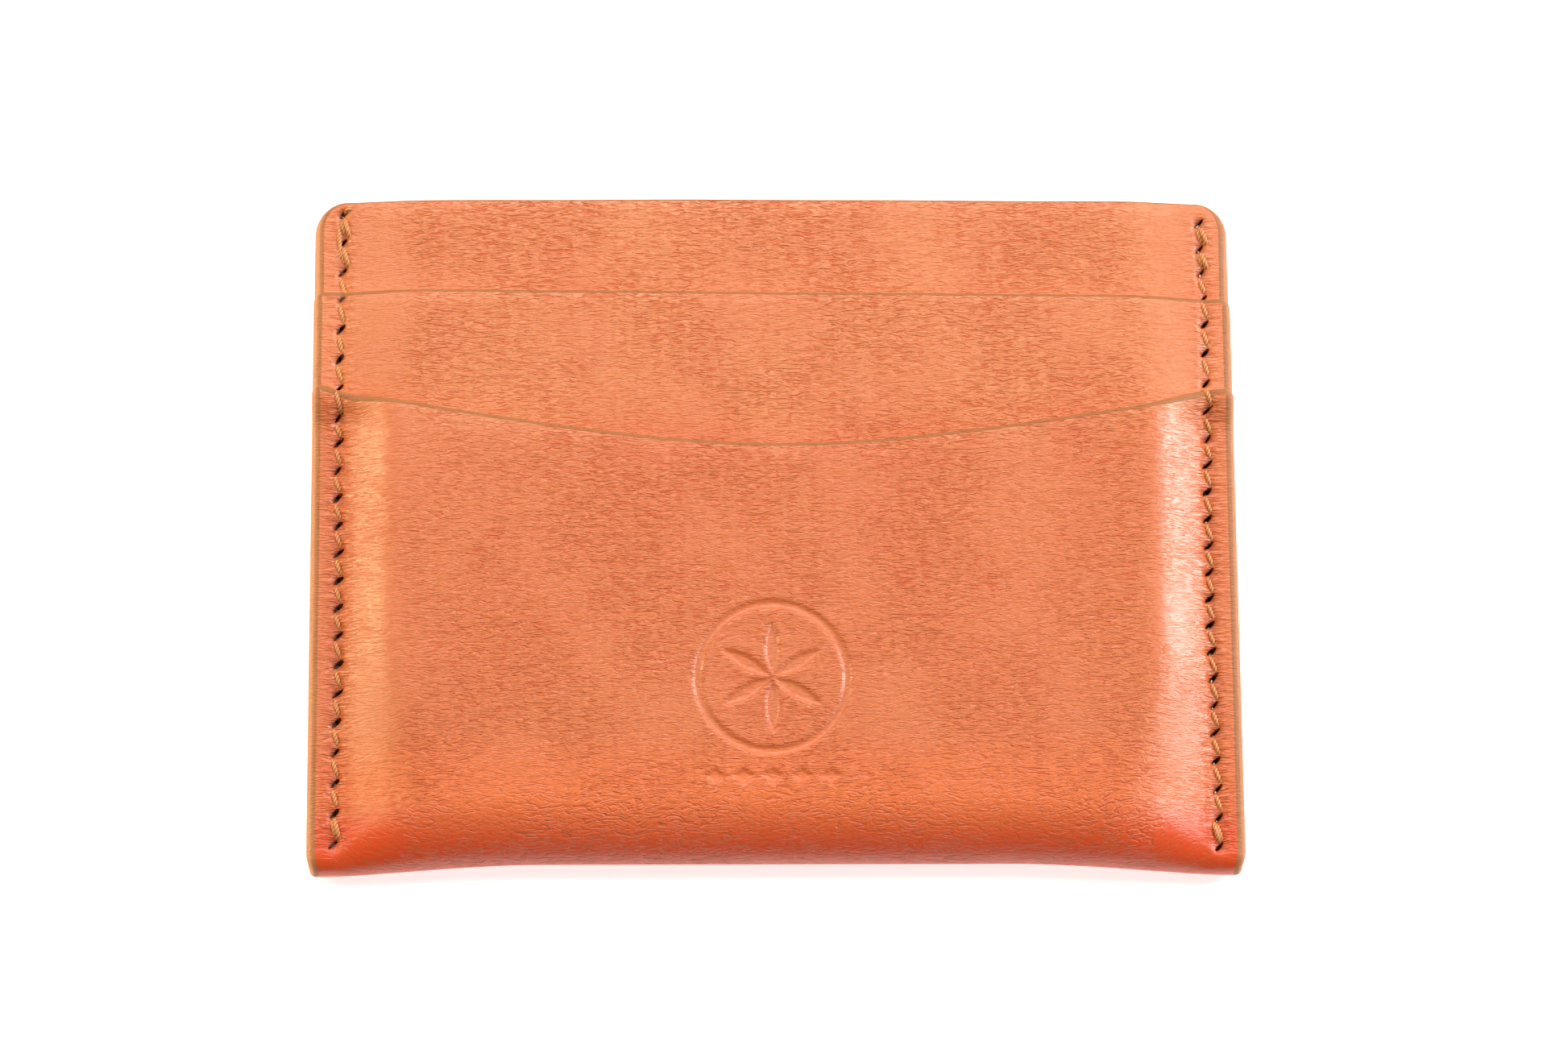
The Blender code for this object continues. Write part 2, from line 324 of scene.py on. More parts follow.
def seam_relief(x, v, exposed):
    """(how far the seams press the leather down or up, how puckered it is, how near a hole
    it is). exposed is 1 where the leather is the outermost one."""
    height = np.abs(v)
    drop = np.zeros(len(x))
    pucker = np.zeros(len(x))
    near_hole = np.zeros(len(x))
    for holes in SEAM_HOLES.values():
        near = (np.abs(x - holes[:, 0].mean()) < 5.0) & (exposed > 0)
        if not near.any():
            continue
        px, ph = x[near], height[near]
        line = np.interp(ph, holes[:, 1], holes[:, 0])
        off = px - line
        spot = np.interp(ph, holes[:, 1], np.arange(len(holes)))
        share = spot - np.floor(spot)
        slant = np.where(v[near] > 0, 1.0, -1.0) * STRAND_OFFSET
        stitch_x = slant * np.cos(np.pi * share)
        nearest = np.clip(np.round(spot).astype(int), 0, len(holes) - 1)
        to_hole = np.hypot(off, ph - holes[nearest, 1])
        in_row = smooth(ph, holes[0, 1] - 1.2, holes[0, 1] + 0.4)
        in_row = in_row * (1 - smooth(ph, holes[-1, 1] - 0.4, holes[-1, 1] + 1.2))
        groove = 0.20 * bell(off - stitch_x, 0.36) * np.sin(np.pi * share) ** 0.5
        valley = 0.13 * bell(off, 1.1)
        dimple = 0.20 * bell(to_hole, 0.62)
        shoulder = 0.05 * bell(np.abs(off) - 0.95, 0.4)
        fan = np.cos(math.tau * (spot * 3.0 + 0.35 * np.sin(spot * 2.3) + 0.12 * off))
        ripple = 0.030 * fan * bell(np.abs(off) - 0.9, 0.75)
        drop[near] += exposed[near] * in_row * (shoulder + ripple - groove - valley - dimple)
        inward = np.where(off * np.sign(px) < 0, 1.6, 2.3)
        in_front = mix(0.6, 1.1, 1 - smooth(ph, FRONT_MOUTH_SIDE - 1.0, FRONT_MOUTH_SIDE + 1.5))
        pucker[near] += exposed[near] * in_row * in_front * bell(off, inward)
        side_off, up_off = px - holes[nearest, 0], ph - holes[nearest, 1]
        slant = np.where(v[near] > 0, SLIT_SLANT, np.pi - SLIT_SLANT)
        along = side_off * np.cos(slant) + up_off * np.sin(slant)
        across = up_off * np.cos(slant) - side_off * np.sin(slant)
        slit = bell(along**2, 0.30) * bell(across, 0.17)
        drop[near] -= 0.25 * exposed[near] * slit
        # near_hole also sets the painted shade round each hole in the leather's colour.
        near_hole[near] += exposed[near] * np.maximum(0.5 * bell(to_hole, 0.72), slit)
    return drop, pucker, near_hole


def deboss(x, height):
    """How far the ornament presses the front pocket's leather in."""
    dx, dy = x - ROSETTE[0], height - ROSETTE[1]
    radius = np.hypot(dx, dy)
    edge = np.abs(radius - RING_RADIUS) - RING_WIDTH / 2
    for k in range(6):
        petal = np.full(len(x), -np.inf)
        for turn in (k - 1, k + 1):
            cx = PETAL_RADIUS * math.sin(turn * math.pi / 3)
            cy = PETAL_RADIUS * math.cos(turn * math.pi / 3)
            petal = np.maximum(petal, np.hypot(dx - cx, dy - cy) - PETAL_RADIUS)
        edge = np.minimum(edge, petal + 0.12)
    for k in range(-2, 3):
        across = np.abs(x - ROSETTE[0] - k * LOZENGE_PITCH) / LOZENGE_HALF[0]
        down = np.abs(height - LOZENGE_HEIGHT) / LOZENGE_HALF[1]
        edge = np.minimum(edge, (across + down - 1) * LOZENGE_HALF[1] * 0.8)
    return edge


def deboss_drop(edge):
    pressed = smooth(edge, DEBOSS_SHOULDER * 0.6, -DEBOSS_SHOULDER)
    raised = 0.03 * bell(edge - 0.45, 0.3)
    return raised - DEBOSS_DEPTH * pressed


# ---------------------------------------------------------------- sheets of leather


def rounded_loop(corners, step):
    """A closed outline, anticlockwise, through corners given as (x, y, radius)."""
    count = len(corners)
    points = []
    for k in range(count):
        before = np.array(corners[k - 1][:2])
        here = np.array(corners[k][:2])
        after = np.array(corners[(k + 1) % count][:2])
        radius = corners[k][2]
        come = (here - before) / np.linalg.norm(here - before)
        go = (after - here) / np.linalg.norm(after - here)
        arc = max(4, int(round(radius * math.pi / 2 / step)) + 2)
        centre = here - radius * come + radius * go
        for turn in np.linspace(0, math.pi / 2, arc):
            points.append(centre - radius * go * math.cos(turn) + radius * come * math.sin(turn))
    loop = []
    for start, end in zip(points, points[1:] + points[:1]):
        pieces = max(1, int(round(np.linalg.norm(end - start) / step)))
        for k in range(pieces):
            loop.append(mix(start, end, k / pieces))
    return np.array(loop)


def outward(loop):
    along = np.roll(loop, -1, axis=0) - np.roll(loop, 1, axis=0)
    along /= np.linalg.norm(along, axis=1, keepdims=True)
    return np.stack([along[:, 1], -along[:, 0]], axis=1)


def slit_loop(centre, slant, grow):
    """A lens-shaped awl slit, anticlockwise. No two are quite the same."""
    turn = np.linspace(0, math.tau, SLIT_POINTS, endpoint=False)
    whim = math.sin(centre[0] * 7.0 + centre[1] * 5.3), math.sin(centre[1] * 8.9 + 1.0)
    half_length = SLIT_LENGTH / 2 * (1 + 0.12 * whim[0]) + grow
    half_width = SLIT_WIDTH / 2 * (1 + 0.28 * whim[1]) + grow
    along = half_length * np.cos(turn)
    across = half_width * np.sign(np.sin(turn)) * np.abs(np.sin(turn)) ** 1.15
    slant += 0.14 * whim[0] * whim[1]
    c, s = math.cos(slant), math.sin(slant)
    return np.stack([centre[0] + c * along - s * across, centre[1] + s * along + c * across], 1)


def scattered(low, high, coarse, spacing):
    """Points over a rectangle, closer together where spacing(x, v) asks for it."""
    xs = np.arange(low[0] + coarse / 2, high[0], coarse)
    vs = np.arange(low[1] + coarse / 2, high[1], coarse)
    cells = np.stack(np.meshgrid(xs, vs), axis=-1).reshape(-1, 2)
    rows = np.repeat(np.arange(len(vs)), len(xs))
    size, found, sizes = coarse, [], []
    while len(cells):
        split = spacing(cells[:, 0], cells[:, 1]) < size * 0.75
        stagger = size * 0.25 * np.where(rows % 2 == 0, 1, -1)
        kept = cells + np.stack([stagger, np.zeros(len(cells))], axis=1)
        found.append(kept[~split])
        sizes.append(np.full((~split).sum(), size))
        quarter = size / 4
        cells, rows = cells[split], rows[split]
        moves = [(-1, -1), (1, -1), (-1, 1), (1, 1)]
        rows = np.concatenate([rows * 2 + (dy > 0) for _, dy in moves])
        cells = np.concatenate([cells + quarter * np.array(move) for move in moves])
        size /= 2
    return np.concatenate(found), np.concatenate(sizes)


def within(loop, points):
    """Whether each point is inside this convex, anticlockwise loop."""
    low, high = loop.min(axis=0), loop.max(axis=0)
    found = ((points > low) & (points < high)).all(axis=1)
    near = points[found][:, None, :]
    found[found] = (np.cross(np.roll(loop, -1, axis=0) - loop, near - loop) > 0).all(axis=1)
    return found


def triangulated(loops, low, high, coarse, spacing):
    """(points, triangles) that fill the first loop, apart from the others, which are holes.
    The loops' own points come first, in order."""
    ring = np.concatenate(loops)
    tree = KDTree(len(ring))
    for k, point in enumerate(ring):
        tree.insert((point[0], point[1], 0.0), k)
    tree.balance()
    inside, sizes = scattered(low, high, coarse, spacing)
    clear = [tree.find((p[0], p[1], 0.0))[2] > 0.62 * s for p, s in zip(inside, sizes)]
    inside = inside[np.array(clear)]
    for loop in loops[1:]:
        inside = inside[~within(loop, inside)]
    points = np.concatenate([ring, inside])
    edges, first = [], 0
    for loop in loops:
        count = len(loop)
        edges += [(first + k, first + (k + 1) % count) for k in range(count)]
        first += count
    owner = np.full(len(points), 0)
    owner[len(loops[0]) : len(ring)] = np.repeat(
        np.arange(1, len(loops)), [len(loop) for loop in loops[1:]]
    )
    made = delaunay_2d_cdt([Vector(p) for p in points], edges, [], 1, 1e-6)
    source = np.array([old[0] for old in made[3]])
    triangles = source[np.array(made[2])]
    holes = owner[triangles]
    in_hole = (holes[:, 0] > 0) & (holes == holes[:, :1]).all(axis=1)
    triangles = triangles[~in_hole]
    a, b, c = (points[triangles[:, k]] for k in range(3))
    clockwise = np.cross(b - a, c - a) < 0
    triangles[clockwise] = triangles[clockwise][:, ::-1]
    used = np.unique(np.concatenate([np.arange(len(ring)), triangles.ravel()]))
    renumber = np.full(len(points), -1)
    renumber[used] = np.arange(len(used))
    return points[used], renumber[triangles]


def ring_quads(upper, lower, hole):
    """Quads between two rings of the same length. A hole's wall faces the other way."""
    after_upper, after_lower = np.roll(upper, -1), np.roll(lower, -1)
    quads = np.stack([upper, lower, after_lower, after_upper], axis=1)
    return quads[:, ::-1] if hole else quads


class Sheet:
    """The parts of a sheet's mesh, collected as they are made."""

    def __init__(self, surface, thickness):
        self.surface = surface
        self.thickness = thickness
        self.places, self.flats, self.marks = [], [], []
        self.faces = []
        self.count = 0

    def add(self, points, depth, relief, rim, pit, pucker, pressed, mouth=0.0):
        """Adds vertices at depth below the grain face, and returns their numbers."""
        x, v = points[:, 0], points[:, 1]
        normal = normals_of(self.surface, x, v)
        place = self.surface(x, v) + normal * (relief - depth)[:, None]
        self.places.append(place)
        self.flats.append(np.stack([x, v, depth], axis=1))
        mouth = np.broadcast_to(mouth, x.shape)
        self.marks.append(np.stack([rim, pit, pucker, pressed, mouth], axis=1))
        numbers = np.arange(self.count, self.count + len(points))
        self.count += len(points)
        return numbers


def leather_sheet(
    name, sheet, outline, slits, low, high, spacing, mouth_bevel, covers, exposed, ornament
):
    """Makes a closed sheet of leather.

    mouth_bevel(x) is how far the grain face stops short of the mouth, covers(v) is how much
    leather lies on this one at the side seams, exposed(x, v) is 1 where nothing lies on it,
    and ornament says whether it carries the debossed ornament.
    """
    normal = outward(outline)
    sideways = normal[:, :1] ** 2
    turns = np.radians(RIM_TURNS)

    def relief_at(points):
        x, v = points[:, 0], points[:, 1]
        drop, pucker, near_hole = seam_relief(x, v, exposed(x, v))
        pressed = np.zeros(len(x))
        if ornament:
            inside = (np.abs(x) < 12) & (v > 5) & (v < 32)
            pressed[inside] = deboss_drop(deboss(x[inside], v[inside]))
        return drop, pucker, pressed, near_hole

    def rim_points(turn):
        """The outline drawn in as the rim is at this turn, and the depth there."""
        thickness = sheet.thickness(outline[:, 0], outline[:, 1])
        depth = thickness * (1 - math.cos(turn)) / 2
        bevel = mouth_bevel(outline[:, 0]) if turn < math.pi / 2 else thickness / 2
        mouth_inset = bevel * (1 - math.sin(turn))
        radius = np.where(outline[:, 1] < 0, BACK_ROUND, SIDE_ROUND)
        down = np.clip(1 - (covers(outline[:, 1]) + depth) / radius, 0, 1)
        side_inset = radius * (1 - np.sqrt(1 - down**2))
        inset = mix(mouth_inset, side_inset, sideways[:, 0])
        return outline - normal * inset[:, None], depth, thickness

    wide = [slit_loop(*slit, SLIT_LIP) for slit in slits]
    grain_loop = rim_points(0.0)[0]
    flat, triangles = triangulated([grain_loop] + wide, low, high, 3.2, spacing)
    drop, pucker, pressed, near_hole = relief_at(flat)
    zero = np.zeros(len(flat))
    numbers = sheet.add(flat, zero, drop + pressed, zero, near_hole, pucker, pressed)
    sheet.faces += [tuple(numbers[t]) for t in triangles]

    upper = numbers[: len(grain_loop)]
    for turn in turns[1:]:
        points, depth, thickness = rim_points(turn)
        ring_drop, ring_pucker, *_ = relief_at(points)
        left = 1 - depth / thickness
        none = np.zeros(len(points))
        lower = sheet.add(
            points, depth, ring_drop * left, none + 1, none, ring_pucker, none, 1 - sideways[:, 0]
        )
        sheet.faces += [tuple(q) for q in ring_quads(upper, lower, False)]
        upper = lower
    flesh_rings = [upper]
    flesh_loops = [points]

    first = len(grain_loop)
    for slit, loop in zip(slits, wide):
        count = len(loop)
        upper = numbers[first : first + count]
        first += count
        for grow, share in ((SLIT_LIP * 0.35, 0.05), (0.0, 0.14), (0.0, 1.0)):
            points = slit_loop(*slit, grow)
            thickness = sheet.thickness(points[:, 0], points[:, 1])
            drop, pucker, *_ = relief_at(points)
            none = np.zeros(count)
            depth = thickness * share
            # The slit walls are marked for painted shade, full from just below the lip.
            slit_shade = none + min(1.0, share * 6)
            lower = sheet.add(points, depth, drop * (1 - share), none, slit_shade, pucker, none)
            sheet.faces += [tuple(q) for q in ring_quads(upper, lower, True)]
            upper = lower
        flesh_rings.append(upper)
        flesh_loops.append(points)

    flat, triangles = triangulated(
        flesh_loops, low, high, 3.2, lambda x, v: np.full(len(x), 1.4)
    )
    ring_count = sum(len(loop) for loop in flesh_loops)
    inner = flat[ring_count:]
    thickness = sheet.thickness(inner[:, 0], inner[:, 1])
    none = np.zeros(len(inner))
    inner_numbers = sheet.add(inner, thickness, none, none + 1, none, none, none)
    numbers = np.concatenate(flesh_rings + [inner_numbers])
    sheet.faces += [tuple(numbers[t][::-1]) for t in triangles]
    return finished_mesh(name, sheet)


def finished_mesh(name, sheet):
    mesh = bpy.data.meshes.new(name)
    mesh.from_pydata(np.concatenate(sheet.places) * MM, [], sheet.faces)
    flat = mesh.attributes.new("flat", "FLOAT_VECTOR", "POINT")
    flat.data.foreach_set("vector", np.concatenate(sheet.flats).astype(np.float32).ravel())
    marks = np.concatenate(sheet.marks).astype(np.float32)
    for k, mark in enumerate(("rim", "pit", "pucker", "pressed", "mouth")):
        layer = mesh.attributes.new(mark, "FLOAT", "POINT")
        layer.data.foreach_set("value", np.ascontiguousarray(marks[:, k]))
    mesh.shade_smooth()
    mesh.validate()
    piece = bpy.data.objects.new(name, mesh)
    bpy.context.scene.collection.objects.link(piece)
    return piece


def seam_leather(x, v):
    """Sheets fill their place between the seams' stitches, and are thinner elsewhere."""
    return mix(SEAM_LEATHER, LEATHER, inner_swell(x))


def t_leather(x, v):
    """The T pocket's arms are pared thin towards their foot."""
    pared = (1 - inner_swell(x)) * (FRONT_SEAM_TOP_HIGH - front_seam_top(v)) * 0.85
    return seam_leather(x, v) - pared


def seam_slits(low, high):
    """The slits, as (centre, slant), of the holes between two heights."""
    found = []
    for holes in SEAM_HOLES.values():
        for x, height in holes:
            if low < height < high:
                found.append(((x, height), SLIT_SLANT))
    return found


def by_seam(x, v, fine):
    """Spacing that is fine at the seams' lines and grows away from them."""
    off = np.abs(np.abs(x) - SEAM_X)
    return fine + 0.55 * np.clip(off - 1.1, 0, None) ** 0.9


def make_wrap():
    sheet = Sheet(wrap_surface, seam_leather)
    half, radius = HALF_WIDTH, SHARP_CORNER
    loop = rounded_loop(
        [
            (-half, -HEIGHT, CORNER_RADIUS),
            (half, -HEIGHT, CORNER_RADIUS),
            (half, FRONT_MOUTH_SIDE, radius),
            (-half, FRONT_MOUTH_SIDE, radius),
        ],
        0.36,
    )
    x, v = loop[:, 0], loop[:, 1]
    near_mouth = smooth(v, 0.0, FRONT_MOUTH_SIDE)
    near_top = smooth(v, 0.0, -HEIGHT)
    at_fold = np.cos(np.clip(np.abs(v) / FOLD_CORNER_REACH, 0, 1) * np.pi) / 2 + 0.5
    drawn_in = 1 - at_fold**1.2 * FOLD_CORNER_INSET / HALF_WIDTH
    v = v - near_mouth * front_mouth_dip(x) + near_top * TOP_CROWN * (x / half) ** 2
    loop = np.stack([x * drawn_in, v], axis=1)

    slits = seam_slits(0, FRONT_MOUTH_SIDE + 0.6 - CLEAR_OF_MOUTH)
    back = [((x, -height), -SLIT_SLANT) for (x, height), _ in seam_slits(0, HEIGHT)]

    def spacing(x, v):
        seam = by_seam(x, v, np.where(v > 0, 0.15, 0.21))
        wanted = np.minimum(seam, 1.6)
        marked = (np.abs(x) < 11) & (v > 7) & (v < 31)
        edge = np.full(len(x), 9.0)
        edge[marked] = np.abs(deboss(x[marked], v[marked]))
        wanted = np.where(edge < 0.45, 0.2, np.where(edge < 2.0, np.minimum(wanted, 0.5), wanted))
        fold = (v > -5) & (v < 12)
        return np.where(fold, np.minimum(wanted, 0.7), wanted)

    piece = leather_sheet(
        "outer_wrap_leather",
        sheet,
        loop,
        slits + back,
        (-half, -HEIGHT),
        (half, FRONT_MOUTH_SIDE + 2),
        spacing,
        lambda x: mix(0.80, 0.50, inner_swell(x)),
        lambda v: np.zeros(len(v)),
        lambda x, v: np.ones(len(x)),
        True,
    )
    return piece


def above(v, mouth):
    """1 where a leather is clear of the one in front, whose mouth is at this height."""
    return smooth(v, mouth - 0.1, mouth + 0.7)


def cover(v, mouth):
    """How much the leather in front covers. It has its full rim before it comes into sight."""
    return PLY * (1 - smooth(v, mouth - 1.7, mouth - 0.6))


def make_t_pocket():
    sheet = Sheet(t_surface, t_leather)
    half, stem, radius = HALF_WIDTH, T_STEM_HALF_WIDTH, SHARP_CORNER
    loop = rounded_loop(
        [
            (-stem, T_STEM_FOOT, radius),
            (stem, T_STEM_FOOT, radius),
            (stem, T_ARM_FOOT, 0.3),
            (half, T_ARM_FOOT, 0.5),
            (half, T_MOUTH, radius),
            (-half, T_MOUTH, radius),
            (-half, T_ARM_FOOT, 0.5),
            (-stem, T_ARM_FOOT, 0.3),
        ],
        0.36,
    )
    near_mouth = smooth(loop[:, 1], T_ARM_FOOT + 2, T_MOUTH)
    loop[:, 1] += near_mouth * (t_mouth(loop[:, 0]) - T_MOUTH)
    row = [
        (((k - T_ROW_STITCHES / 2) * T_ROW_PITCH, T_ROW_HEIGHT), SLIT_SLANT)
        for k in range(T_ROW_STITCHES + 1)
    ]
    piece = leather_sheet(
        "t_pocket_leather",
        sheet,
        loop,
        seam_slits(T_ARM_FOOT + 1.0, T_MOUTH - CLEAR_OF_MOUTH) + row,
        (-half, T_STEM_FOOT),
        (half, T_MOUTH + 1),
        lambda x, v: np.where(v > 45, np.minimum(by_seam(x, v, 0.15), 1.6), 1.6),
        lambda x: mix(0.62, 0.42, inner_swell(x)),
        lambda v: cover(v, FRONT_MOUTH_SIDE + MOUTH_END_RISE),
        lambda x, v: above(v, front_mouth(x)),
        False,
    )
    return piece


def make_centre_panel():
    sheet = Sheet(centre_surface, seam_leather)
    half = HALF_WIDTH
    loop = rounded_loop(
        [
            (-half + 0.6, CENTRE_FOOT, SHARP_CORNER),
            (half - 0.6, CENTRE_FOOT, SHARP_CORNER),
            (half, HEIGHT, CORNER_RADIUS),
            (-half, HEIGHT, CORNER_RADIUS),
        ],
        0.36,
    )
    share = smooth(loop[:, 1], 10, HEIGHT)
    loop[:, 1] += mix(bottom_bow(loop[:, 0]), -TOP_CROWN * (loop[:, 0] / half) ** 2, share)
    row = [
        (((k - T_ROW_STITCHES / 2) * T_ROW_PITCH, T_ROW_HEIGHT), SLIT_SLANT)
        for k in range(T_ROW_STITCHES + 1)
    ]
    piece = leather_sheet(
        "centre_panel_leather",
        sheet,
        loop,
        seam_slits(CENTRE_FOOT + 1.6, HEIGHT) + row,
        (-half, CENTRE_FOOT),
        (half, HEIGHT),
        lambda x, v: np.where(v > 60, np.minimum(by_seam(x, v, 0.15), 1.6), 1.6),
        lambda x: np.full(len(x), 0.30),
        lambda v: cover(v, T_MOUTH) + cover(v, FRONT_MOUTH_SIDE),
        lambda x, v: above(v, t_mouth(x)),
        False,
    )
    return piece


# ---------------------------------------------------------------- threads


def outer_z(x, height):
    """The height of the outermost grain face, seam relief included."""
    x, height = np.atleast_1d(x), np.atleast_1d(height)
    ones = np.ones(len(x))
    drop = seam_relief(x, height, ones)[0]
    z = centre_top(x, height)
    z = mix(z, t_top(x, height), 1 - smooth(height, t_mouth(x) - 0.3, t_mouth(x) + 0.3))
    mouth = front_mouth(x)
    z = mix(z, front_top(x, height), 1 - smooth(height, mouth - 0.3, mouth + 0.3))
    return z + drop


def stitch(start, end, side, samples=17, lie=0.03, arch=0.06, dive=1.0):
    """A stitch from one slit to the next, on the front (side 1) or on the back (-1)."""
    share = (1 - np.cos(np.linspace(0, np.pi, samples))) / 2
    x = mix(start[0], end[0], share)
    height = mix(start[1], end[1], share)
    hump = (1 - np.abs(2 * share - 1) ** 3.2) ** 0.75
    lift = mix(-dive, lie, hump) + arch * np.sin(np.pi * share)
    if side > 0:
        z = outer_z(x, height) + lift
    else:
        z = -seam_relief(x, -height, np.ones(len(x)))[0] - lift
    return np.stack([x, height - HEIGHT / 2, z], axis=1)


def strand(holes, first_side):
    """One of the two strands of a saddle stitch, which changes sides at every hole."""
    pieces, side = [], first_side
    for (x0, h0), (x1, h1) in zip(holes, holes[1:]):
        start = (x0 + STRAND_OFFSET * side, h0 + STRAND_OFFSET * 1.1 * side)
        end = (x1 - STRAND_OFFSET * side, h1 - STRAND_OFFSET * 1.1 * side)
        if side < 0:
            start = (x0 + STRAND_OFFSET, h0 - STRAND_OFFSET * 1.1)
            end = (x1 - STRAND_OFFSET, h1 + STRAND_OFFSET * 1.1)
            start = (x0 - STRAND_OFFSET, h0 - STRAND_OFFSET * 1.1)
            end = (x1 + STRAND_OFFSET, h1 + STRAND_OFFSET * 1.1)
        pieces.append(stitch(start, end, side))
        side = -side
    return np.concatenate(pieces)


def resampled(points, step):
    """The same path, smoothed a little, with a point every step."""
    for _ in range(2):
        middle = (points[:-2] + 2 * points[1:-1] + points[2:]) / 4
        points = np.concatenate([points[:1], middle, points[-1:]])
    gaps = np.linalg.norm(np.diff(points, axis=0), axis=1)
    run = np.concatenate([[0], np.cumsum(gaps)])
    spots = np.linspace(0, run[-1], int(run[-1] / step) + 2)
    return np.stack([np.interp(spots, run, points[:, k]) for k in range(3)], axis=1), spots


def twisted_tube(points, radius, lay=1.25, plies=3, sides=15, step=0.13):
    """(vertices, faces, marks) of a laid thread along the points, with closed ends."""
    path, run = resampled(points, step)
    along = np.gradient(path, axis=0)
    along /= np.linalg.norm(along, axis=1, keepdims=True)
    across = np.zeros_like(path)
    across[0] = np.cross(along[0], (0.3, 0.2, 0.9))
    across[0] /= np.linalg.norm(across[0])
    for k in range(1, len(path)):
        carried = across[k - 1] - along[k] * np.dot(across[k - 1], along[k])
        across[k] = carried / np.linalg.norm(carried)
    other = np.cross(along, across)
    turn = np.linspace(0, math.tau, sides, endpoint=False)
    phase = turn[None, :] - math.tau * run[:, None] / lay
    lobes = np.abs(np.cos(phase * plies / 2))
    size = radius * (0.66 + 0.44 * lobes)
    taper = np.minimum(1, 0.25 + np.minimum(run, run[-1] - run) / 0.25)[:, None]
    size = size * taper
    ring = across[:, None, :] * np.cos(turn)[None, :, None]
    ring = ring + other[:, None, :] * np.sin(turn)[None, :, None]
    places = path[:, None, :] + ring * size[:, :, None]
    count = len(path)
    numbers = np.arange(count * sides).reshape(count, sides)
    after = np.roll(numbers, -1, axis=1)
    quads = np.stack([numbers[:-1], after[:-1], after[1:], numbers[1:]], axis=-1)
    faces = [tuple(q) for q in quads.reshape(-1, 4)]
    faces.append(tuple(numbers[0][::-1]))
    faces.append(tuple(numbers[-1]))
    return places.reshape(-1, 3), faces, lobes.reshape(-1)


def thread_piece(name, paths, radius):
    """One thread made of these stretches."""
    places, faces, lobes, first = [], [], [], 0
    for path in paths:
        tube, tube_faces, tube_lobes = twisted_tube(path, radius)
        places.append(tube)
        lobes.append(tube_lobes)
        faces += [tuple(first + k for k in face) for face in tube_faces]
        first += len(tube)
    mesh = bpy.data.meshes.new(name)
    mesh.from_pydata(np.concatenate(places) * MM, [], faces)
    layer = mesh.attributes.new("ply", "FLOAT", "POINT")
    layer.data.foreach_set("value", np.concatenate(lobes).astype(np.float32))
    mesh.shade_smooth()
    mesh.validate()
    piece = bpy.data.objects.new(name, mesh)
    bpy.context.scene.collection.objects.link(piece)
    return piece


def doubled(hole_a, hole_b, shift):
    """A back stitch that lies beside the stitch between two holes."""
    a = (hole_a[0] + STRAND_OFFSET + shift, hole_a[1] + STRAND_OFFSET)
    b = (hole_b[0] - STRAND_OFFSET + shift, hole_b[1] - STRAND_OFFSET)
    return stitch(a, b, 1, lie=0.16, arch=0.12, dive=0.8)


def make_seam_thread(seam):
    holes = SEAM_HOLES[seam]
    side = SEAMS[seam][0]
    paths = [strand(holes, 1), strand(holes, -1)]
    paths.append(doubled(holes[0], holes[1], -0.34 * side))
    paths.append(doubled(holes[-3], holes[-2], 0.34))
    paths.append(doubled(holes[-2], holes[-1], 0.42))
    if seam == "left":
        top, after = holes[-1], holes[-3]
        paths.append(stitch((top[0] + 0.05, top[1] + 0.15), (top[0] + 0.85, top[1] + 0.85), 1))
        paths.append(stitch((top[0] - 0.55, top[1] - 0.5), (after[0] - 0.25, after[1] + 0.5), 1))
    return thread_piece("saddle_stitch_" + seam, paths, THREAD_RADIUS)


def make_t_row_thread():
    """The hidden running stitch at the foot of the T pocket."""
    above_z = CENTRE_MID_TOP + PLY + 0.18
    below_z = CENTRE_MID_TOP - LEATHER - 0.2
    points = []
    for k in range(T_ROW_STITCHES):
        start = (k - T_ROW_STITCHES / 2) * T_ROW_PITCH
        share = np.linspace(0, 1, 12)
        z = above_z if k % 2 == 0 else below_z
        middle = (above_z + below_z) / 2
        hump = (1 - np.abs(2 * share - 1) ** 9) ** 0.5
        x = start + share * T_ROW_PITCH
        y = np.full(12, T_ROW_HEIGHT - HEIGHT / 2)
        points.append(np.stack([x, y, mix(middle, z, hump)], axis=1))
    return thread_piece("t_pocket_stitch", [np.concatenate(points)], 0.22)


# ---------------------------------------------------------------- materials


